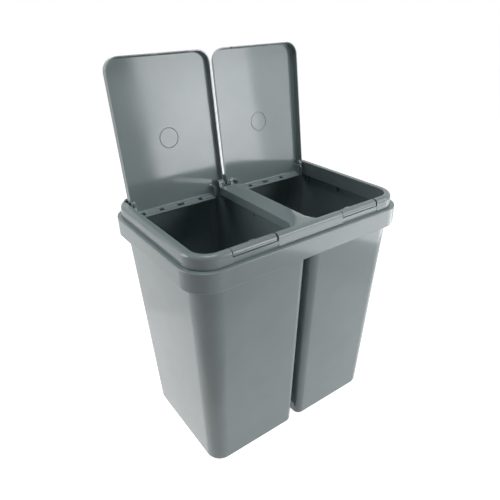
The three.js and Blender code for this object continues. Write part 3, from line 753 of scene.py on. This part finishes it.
    def pocket_span(self, side: Side, grow: float = 0.0) -> Pair:
        """Returns the X range of a latch pocket, grown by a distance at both ends."""
        half = SIZES.pocket_half + grow
        return side.span(SIZES.latch_middle - half, SIZES.latch_middle + half)

    def cut_pockets(self, ring: Piece) -> None:
        """Adds the solid blocks behind the latches, and cuts their pockets and finger recesses."""
        front, high = self.pocket_front, SIZES.frame_top - self.pocket_crown
        profile = [(front, self.foot, 0.0), (self.pocket_rear, self.foot, 0.0),
                   (self.pocket_rear, high, 0.0), (front + self.pocket_chamfer, high, 0.0),
                   (front, high - self.pocket_chamfer, 0.0)]
        blocks = Workpiece()
        for side in Side:
            blocks.bar(profile, *self.pocket_span(side, self.wall))
        combine(ring, blocks.release("pocket_blocks"), Joint.ADD)
        cuts = Workpiece()
        floor = SIZES.frame_top - SIZES.latch_height - SIZES.latch_floor_gap
        for side in Side:
            x0, x1 = self.pocket_span(side)
            cuts.block((x0, self.cut_front, floor), (x1, self.cut_rear, SIZES.frame_top + PAST))
        combine(ring, cuts.release("pockets"), Joint.CUT)
        cuts = Workpiece()
        low, high = self.recess_heights
        for side in Side:
            x0, x1 = self.pocket_span(side)
            cuts.block((x0, self.cut_front, low), (x1, self.recess_face, high))
        for y0, y1 in self.notches:
            cuts.block((-self.notch_half, y0, self.notch_foot), (self.notch_half, y1, self.foot))
        combine(ring, cuts.release("recesses"), Joint.CUT)

    def brackets(self) -> Piece:
        """Makes the hinge brackets with their bores, open at the top for the pins to snap in."""
        y, z, head = SIZES.hinge_y, SIZES.hinge_z, self.bracket_head
        low, rear = SIZES.frame_top - self.skirt, SIZES.opening_rear + self.bracket_bury
        front, foot, web = y - self.bracket_front, y + self.bracket_foot, z - self.bracket_web
        chin, throat = (z - drop for drop in self.bracket_chin)
        profile = [(front, low, 1.0), (foot, low, 1.0), (foot, self.foot, 0.0),
                   (rear, self.foot, 0.0), (rear, web, 0.0), (y + head, web, 3.0),
                   (y + head, z + head, self.head_round), (y - head, z + head, self.head_round),
                   (y - head, chin, 2.0), (front, throat, 2.0)]
        bars, mouths, bores = Workpiece(arc_steps=5), Workpiece(), Workpiece()
        for side in Side:
            for near, far in self.bracket_spans():
                bars.bar(profile, *side.span(near, far), self.bracket_ease)
                x0, x1 = side.span(near - self.bore_past, far + self.bore_past)
                mouths.block((x0, y - self.snap_half, z),
                             (x1, y + self.snap_half, z + self.snap_rise))
                bores.rod(self.bore, (y, z), x0, x1)
        made = bars.release("brackets")
        combine(made, mouths.release("mouths"), Joint.CUT)
        combine(made, bores.release("bores"), Joint.CUT)
        return made

    def build(self) -> Piece:
        """Makes the frame."""
        ring = self.ring()
        self.cut_pockets(ring)
        weld(ring, self.crossbar())
        weld(ring, self.brackets())
        details = Workpiece()
        self.neck(details)
        self.lugs(details)
        weld(ring, details.release("details"))
        return dress(ring, self.finish, "frame", "lid_frame")

    def bracket_spans(self) -> list[Pair]:
        """Returns the two brackets of a lid as distances from the middle plane."""
        near = SIZES.inner_lug + SIZES.side_play
        far = SIZES.lid_outer - SIZES.lug_thickness - SIZES.side_play
        outer = SIZES.lid_outer - SIZES.tail_outer_inset + SIZES.side_play
        return [(near, near + SIZES.bracket_width), (outer, far)]

    def neck(self, work: Workpiece) -> None:
        """Adds the block that carries the inner pair of brackets."""
        half = SIZES.inner_lug + SIZES.side_play + SIZES.bracket_width - self.neck_ease
        rear = SIZES.opening_rear + self.bracket_bury
        work.block((-half, SIZES.hinge_y - self.neck_front, self.foot),
                   (half, rear, SIZES.crossbar_top - self.neck_drop), self.neck_ease)

    def lugs(self, work: Workpiece) -> None:
        """Adds the lugs on the skirt that centre the frame in the tub's mouth."""
        low = SIZES.frame_top - self.skirt + self.lug_rise
        high = self.foot + PAST
        half, ease = self.lug_half, self.lug_ease
        for side in Side:
            x0, x1 = side.span(SIZES.opening_half + self.lug_bury, self.lug_end)
            for place in self.lug_places:
                work.block((x0, place - half, low), (x1, place + half, high), ease)
            x0, x1 = (side.value * SIZES.lid_middle + end * half for end in (-1, 1))
            front, rear = SIZES.opening_front - self.lug_bury, SIZES.opening_rear + self.lug_bury
            work.block((x0, -self.lug_front, low), (x1, front, high), ease)
            work.block((x0, rear, low), (x1, self.lug_front, high), ease)


# ---------------- the lids
@dataclass
class HingedLid:
    """A shallow drawn lid with its tail, lugs and pins; it stands open at rest."""

    side: Side
    finish: bpy.types.Material
    wall: float = 2.2
    length: float = 252.0
    corner: float = 25.0
    edge_round: float = 2.5
    flare: float = 4.1
    heel: float = 6.0
    tail: float = 28.5
    tail_slant: float = 7.0
    open_degrees: float = 96.9
    bar_relief: float = 3.8
    relief_reach: float = 46.0
    lip: float = 0.5
    heel_ease: float = 0.5
    heel_cut: Pair = (2.0, 8.0)
    heel_inner: float = 6.4
    least_corner: float = 1.0
    tail_corner: float = 2.5
    slots: tuple[Pair, ...] = ((-79, 7), (-41, 7), (-3, 7), (4.5, 2.6), (44, 7))
    slot_drop: float = 5.0
    slot_height: float = 7.2
    slot_margin: float = 0.8
    tail_reach: float = 14.0
    catch_half: float = 5.5
    catch_depth: float = 3.4
    catch_window: Pair = (3.6, 8.2)
    catch_notch: float = 1.2
    lug_radius: float = 5.8
    lug_ease: float = 0.6
    pin_radius: float = 3.2
    pin_ease: float = 0.5
    outer_pin: float = 8.5
    bead_drops: Pair = (4.2, 13.6)
    bead_half: float = 0.6
    bead_stand: float = 0.9
    bead_bury: float = 0.7
    bead_end: float = 1.5
    ring_place: float = -105.0
    ring_radius: float = 18.5
    ring_bead: float = 0.7

    def plan(self, z: float, inset: float) -> list[Triple]:
        """Returns the lid's stepped plan outline at a height above the hinge axis."""
        share = min(max((z - SIZES.lid_rim) / SIZES.lid_skirt, 0.0), 1.0)
        near = SIZES.lid_inner + self.flare * share + inset
        far = SIZES.lid_outer - inset
        tail_near = SIZES.lid_inner + SIZES.tail_inner_inset + inset
        tail_far = SIZES.lid_outer - SIZES.tail_outer_inset - inset
        rear = self.tail - self.tail_slant * share - inset
        heel, front = self.heel - inset, -self.length + inset
        corner = max(self.corner - inset, self.least_corner)
        small = max(self.tail_corner - inset, TIGHTEST)
        ease = self.heel_ease
        points = [(near, front, corner), (far, front, corner), (far, heel, ease),
                  (tail_far, heel, ease), (tail_far, rear, small), (tail_near, rear, small),
                  (tail_near, heel, ease), (near, heel, ease)]
        if self.side is Side.RIGHT:
            return points
        return [(-x, y, radius) for x, y, radius in reversed(points)]

    def shell(self) -> Piece:
        """Makes the drawn shell in its shut attitude, around the hinge axis."""
        rim, rise, wall, edge = SIZES.lid_rim, SIZES.lid_rise, self.wall, self.edge_round
        lip, ceiling = self.lip, rise - wall
        sections = [(rise - edge + up, self.plan(rise - edge + up, inset))
                    for up, inset in reversed(quarter_round(edge))]
        sections += [(rim + lip, self.plan(rim + lip, 0.0)), (rim, self.plan(rim, lip)),
                     (rim, self.plan(rim, wall - lip)), (rim + lip, self.plan(rim + lip, wall))]
        sections += [(ceiling - edge + up, self.plan(ceiling - edge + up, wall + inset))
                     for up, inset in quarter_round(edge)]
        name = f"{self.side.name.lower()}_lid_moulding"
        return Workpiece(arc_steps=10).solid(sections, name)

    def openings(self) -> Piece:
        """Makes the cutter for the open heel, the tail slots, the catch and the crossbar relief."""
        cuts = Workpiece()
        rim, ceiling = SIZES.lid_rim, SIZES.lid_rise - self.wall
        tail_far = SIZES.lid_outer - SIZES.tail_outer_inset
        tail_near = SIZES.lid_inner + SIZES.tail_inner_inset
        heels = ((tail_far + SLIVER, SIZES.lid_outer - self.wall),
                 (SIZES.lid_inner + self.heel_inner, tail_near - SLIVER))
        y0, y1 = self.heel_cut
        for near, far in heels:
            x0, x1 = self.side.span(near, far)
            cuts.block((x0, y0, rim - PAST), (x1, y1, ceiling - SLIVER))
        middle = self.side.value * SIZES.lid_middle
        high = SIZES.lid_rise - self.slot_drop
        for offset, width in self.slots:
            place, half = middle + offset, width / 2 + self.slot_margin
            cuts.block((place - half, self.tail - self.tail_reach, high - self.slot_height),
                       (place + half, self.tail + PAST, high))
        catch = middle + SIZES.catch_offset
        front, deep = -self.length - PAST, -self.length + self.catch_depth
        for low, high in ((rim + self.catch_window[0], rim + self.catch_window[1]),
                          (rim - PAST, rim + self.catch_notch)):
            cuts.block((catch - self.catch_half, front, low), (catch + self.catch_half, deep, high))
        x0, x1 = self.side.span(-PAST, self.relief_reach)
        cuts.block((x0, front, rim - PAST), (x1, 0.0, rim + self.bar_relief))
        return cuts.release("lid_cuts")

    def pivots(self, work: Workpiece) -> None:
        """Adds the two round lugs with their pins, on the hinge axis."""
        inner, outer, thick = SIZES.inner_lug, SIZES.lid_outer, SIZES.lug_thickness
        lugs = ((inner - thick, inner, inner + SIZES.bracket_width),
                (outer - thick, outer, outer - self.outer_pin))
        for near, far, pin_end in lugs:
            x0, x1 = self.side.span(near, far)
            work.rod(self.lug_radius, (0.0, 0.0), x0, x1, self.lug_ease)
            x0, x1 = self.side.span(min(near + 1, pin_end), max(near + 1, pin_end))
            work.rod(self.pin_radius, (0.0, 0.0), x0, x1, self.pin_ease)

    def tail_beads(self, work: Workpiece) -> None:
        """Adds the two beads that run along the inside of the tail."""
        x0, x1 = self.side.span(SIZES.lid_inner + SIZES.tail_inner_inset + self.bead_end,
                                SIZES.lid_outer - SIZES.tail_outer_inset - self.bead_end)
        for drop in self.bead_drops:
            z = SIZES.lid_rise - drop
            share = (z - SIZES.lid_rim) / SIZES.lid_skirt
            inner = self.tail - self.tail_slant * share - self.wall
            work.block((x0, inner - self.bead_stand, z - self.bead_half),
                       (x1, inner + self.bead_bury, z + self.bead_half), self.bead_half / 2)

    def ring(self, work: Workpiece) -> None:
        """Adds the round bead in the middle of the lid's underside."""
        made = bmesh.ops.create_circle(work.bm, cap_ends=False, segments=10, radius=self.ring_bead)
        verts = list(made["verts"])
        upright = Matrix.Rotation(math.pi / 2, 3, "X")
        bmesh.ops.rotate(work.bm, verts=verts, cent=(0, 0, 0), matrix=upright)
        middle = Vector((self.side.value * SIZES.lid_middle, self.ring_place,
                         SIZES.lid_rise - self.wall))
        bmesh.ops.translate(work.bm, verts=verts, vec=middle + Vector((self.ring_radius, 0, 0)))
        edges = unique(e for v in verts for e in v.link_edges)
        bmesh.ops.spin(work.bm, geom=verts + edges, cent=middle, axis=(0, 0, 1), dvec=(0, 0, 0),
                       angle=math.tau, steps=64, use_merge=True, use_duplicate=False)

    def fittings(self) -> Piece:
        """Makes the lugs, the pins, the beads and the ring."""
        work = Workpiece()
        self.pivots(work)
        self.tail_beads(work)
        self.ring(work)
        return work.release("lid_fittings")

    def build(self) -> Piece:
        """Makes the lid and swings it open."""
        name = self.side.name.lower()
        lid = self.shell()
        combine(lid, self.openings(), Joint.CUT)
        weld(lid, self.fittings())
        place = Vector((0.0, SIZES.hinge_y, SIZES.hinge_z)) * MM
        turn = Matrix.Rotation(math.radians(-self.open_degrees), 4, "X")
        lid.data.transform(Matrix.Translation(place) @ turn)
        return dress(lid, self.finish, f"{name}_lid", f"{name}_lid")


# ---------------- the latches
@dataclass
class PullLatch:
    """The latch bar in the front of the frame, with its hook and guide legs."""

    side: Side
    finish: bpy.types.Material
    round_over: float = 7.5
    front: float = -153.2
    end_ease: float = 0.5
    rear_gap: float = 0.35
    hook_half: float = 7.0
    hook_lift: float = 3.95
    hook_height: float = 2.6
    hook_root: float = 2.0
    hook_step: float = 2.4
    hook_reach: float = 6.8
    tip_half: float = 4.8
    leg_inset: float = 8.0
    leg_half: float = 2.0
    leg_drop: float = 4.8
    leg_span: Pair = (-147.0, -143.0)
    leg_ease: float = 0.4

    def build(self) -> Piece:
        """Makes the latch."""
        name = self.side.name.lower()
        top = SIZES.frame_top
        low, rear = top - SIZES.latch_height, SIZES.opening_front - self.rear_gap
        shift = (SIZES.latch_end_gap - SIZES.latch_free_gap) / 2
        middle, half = self.side.value * SIZES.latch_middle + shift, SIZES.latch_length / 2
        work = Workpiece(arc_steps=7)
        work.bar([(rear, low, 0.4), (rear, top, 0.9), (self.front, top, self.round_over),
                  (self.front, low, 0.7)], middle - half, middle + half, self.end_ease)
        self.add_hook(work, rear)
        for end in (-1, 1):
            leg = middle + end * (half - self.leg_inset)
            y0, y1 = self.leg_span
            work.block((leg - self.leg_half, y0, low - self.leg_drop),
                       (leg + self.leg_half, y1, low + PAST), self.leg_ease)
        latch = work.release(f"{name}_latch_moulding")
        return dress(latch, self.finish, f"{name}_latch", f"{name}_latch")

    def add_hook(self, work: Workpiece, rear: float) -> None:
        """Adds the hook that reaches through the lid's catch window.

        Args:
            work: the latch in the making.
            rear: where the bar's rear face is.
        """
        middle = self.side.value * SIZES.lid_middle + SIZES.catch_offset
        low = SIZES.hinge_z + SIZES.lid_rim + self.hook_lift
        high, root = low + self.hook_height, rear - self.hook_root
        work.block((middle - self.hook_half, root, low),
                   (middle + self.hook_half, rear + self.hook_step, high), self.end_ease)
        tip = SIZES.opening_front + self.hook_reach
        half_way = (low + high) / 2
        work.bar([(root, low, 0.0), (tip, low, 0.5), (tip, half_way, 0.5), (rear, high, 0.0),
                  (root, high, 0.0)], middle - self.tip_half, middle + self.tip_half, 0.3)


# ---------------- studio
@dataclass(frozen=True)
class SoftBox:
    """One rectangular soft box: where it stands and faces, in metres, and what it does."""

    name: str
    place: Triple
    aim: Triple
    size: Pair
    watts: float
    spread: float = 180.0
    lights: bool = True
    mirrored: bool = True

    def hang(self) -> Piece:
        """Makes the lamp and returns it."""
        data = bpy.data.lights.new(self.name, "AREA")
        data.shape = "RECTANGLE"
        data.size, data.size_y = self.size
        data.energy = self.watts
        data.spread = math.radians(self.spread)
        lamp = put_in_scene(self.name, data)
        lamp.location = self.place
        ahead = Vector(self.aim) - Vector(self.place)
        lamp.rotation_euler = ahead.to_track_quat("-Z", "Y").to_euler()
        lamp.visible_camera = False
        lamp.visible_diffuse = self.lights
        lamp.visible_glossy = self.mirrored
        return lamp


@dataclass(frozen=True)
class Board:
    """A bright board on the floor, square to the camera, that only shows in the bin's skin."""

    name: str
    place: Pair
    size: Pair
    watts: float
    turn: float = -35.0
    height: float = 0.004

    def lay(self) -> None:
        """Makes the board, facing up."""
        lamp = SoftBox(self.name, (*self.place, self.height), (*self.place, 1.0), self.size,
                       self.watts, lights=False).hang()
        lamp.rotation_euler = (math.pi, 0.0, math.radians(self.turn))


@dataclass
class Studio:
    """The floor, the lights and the camera at the photograph's viewing angle."""

    camera_place: Triple = (-489.6, -671.0, 798.4)
    camera_right: Triple = (0.8124, -0.5828, -0.0209)
    camera_up: Triple = (0.2879, 0.3696, 0.8835)
    camera_ahead: Triple = (0.5071, 0.7237, -0.4680)
    camera_range: float = 50.0
    focal_px: float = 472.08
    frame_px: float = 500.0
    sensor_mm: float = 36.0
    floor_size: float = 6.0
    floor_colour: str = "#e6e6e6"
    floor_glow: float = 0.975
    ambient: float = 0.03
    lamps: tuple[SoftBox, ...] = (
        SoftBox("front strip", (0.839, -1.444, 0.835), (0.354, -0.569, 0.835), (0.61, 1.1), 9.5,
                mirrored=False),
        SoftBox("front sheen", (0.84, -1.446, 0.67), (0.355, -0.571, 0.67), (0.61, 0.78), 1.15,
                spread=60.0, lights=False),
        SoftBox("right screen", (1.34, -1.07, 0.835), (0.6, -0.4, 0.835), (0.7, 1.1), 6.0),
        SoftBox("rear left", (-1.2, 0.7, 1.1), (-0.1, 0.0, 0.4), (0.8, 0.8), 9.0),
        SoftBox("low left", (-1.2, 0.9, 0.5), (-0.1, 0.0, 0.4), (0.6, 0.6), 1.5),
        SoftBox("overhead", (0.0, -0.2, 1.9), (0.0, 0.0, 0.4), (0.8, 0.8), 8.0),
    )
    boards: tuple[Board, ...] = (
        Board("board under the bin", (0.064, 0.004), (1.1, 0.72), 0.6),
        Board("right board", (1.065, -0.746), (0.9, 1.2), 9.0),
    )

    def build(self) -> None:
        """Makes the whole studio."""
        self.add_camera()
        self.add_floor()
        self.add_world()
        for lamp in self.lamps:
            lamp.hang()
        for board in self.boards:
            board.lay()
        bpy.context.scene.view_settings.view_transform = "Standard"

    def add_camera(self) -> None:
        """Puts the camera where the photograph was taken from."""
        data = bpy.data.cameras.new("camera")
        data.sensor_fit = "HORIZONTAL"
        data.sensor_width = self.sensor_mm
        data.lens = self.focal_px / self.frame_px * self.sensor_mm
        data.clip_end = self.camera_range
        camera = put_in_scene("camera", data)
        axes = (self.camera_right, self.camera_up, self.camera_ahead)
        right, up, ahead = (Vector(axis) for axis in axes)
        turn = Matrix((right, up, -ahead)).transposed().to_4x4()
        camera.matrix_world = Matrix.Translation(Vector(self.camera_place) * MM) @ turn
        bpy.context.scene.camera = camera

    def add_floor(self) -> None:
        """Lays a wide pale floor that looks white to the camera and still takes the shadow."""
        work = bmesh.new()
        bmesh.ops.create_grid(work, x_segments=1, y_segments=1, size=self.floor_size)
        mesh = bpy.data.meshes.new("floor")
        work.to_mesh(mesh)
        work.free()
        floor = put_in_scene("floor", mesh)
        material = bpy.data.materials.new("matt white studio floor")
        material.use_nodes = True
        tree = material.node_tree
        tree.nodes.clear()
        matt = add_node(tree, "ShaderNodeBsdfDiffuse", None, {"Color": linear(self.floor_colour)})
        glow = add_node(tree, "ShaderNodeEmission", None,
                        {"Color": (1, 1, 1, 1), "Strength": self.floor_glow})
        lit = add_node(tree, "ShaderNodeAddShader", None,
                       {0: matt.outputs[0], 1: glow.outputs[0]})
        mix = add_node(tree, "ShaderNodeMixShader", None,
                       {0: self.seen_directly(tree), 1: matt.outputs[0], 2: lit.outputs[0]})
        add_node(tree, "ShaderNodeOutputMaterial", None, {"Surface": mix.outputs[0]})
        mesh.materials.append(material)

    def add_world(self) -> None:
        """Surrounds the scene with white to the eye and a plain soft grey to the object."""
        world = bpy.data.worlds.new("studio")
        bpy.context.scene.world = world
        world.use_nodes = True
        tree = world.node_tree
        tree.nodes.clear()
        white = add_node(tree, "ShaderNodeBackground", None,
                         {"Color": (1, 1, 1, 1), "Strength": 1.0})
        soft = add_node(tree, "ShaderNodeBackground", None,
                        {"Color": (1, 1, 1, 1), "Strength": self.ambient})
        mix = add_node(tree, "ShaderNodeMixShader", None,
                       {0: self.seen_directly(tree), 1: soft.outputs[0], 2: white.outputs[0]})
        add_node(tree, "ShaderNodeOutputWorld", None, {"Surface": mix.outputs[0]})

    def seen_directly(self, tree: bpy.types.NodeTree) -> bpy.types.NodeSocket:
        """Returns a socket that is 1 for rays from the camera, a mirror or a see-through piece."""
        path = add_node(tree, "ShaderNodeLightPath")
        seen = path.outputs["Is Camera Ray"]
        for ray in ("Is Glossy Ray", "Is Transmission Ray"):
            either = add_node(tree, "ShaderNodeMath", {"operation": "MAXIMUM"},
                              {0: seen, 1: path.outputs[ray]})
            seen = either.outputs[0]
        return seen


def main() -> None:
    """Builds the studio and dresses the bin."""
    logging.basicConfig(level=logging.INFO, format="%(name)s: %(message)s")
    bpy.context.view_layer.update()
    Studio().build()
    finish = MouldedPolypropylene("moulded polypropylene", "#869496", "#7f8d8f").build()
    builders = [TwinTub(finish), LidFrame(finish)]
    builders += [HingedLid(side, finish) for side in Side]
    builders += [PullLatch(side, finish) for side in Side]
    for builder in builders:
        piece = builder.build()
        LOG.info("built %s with %d faces", piece.name, len(piece.data.polygons))


if __name__ == "__main__":
    main()
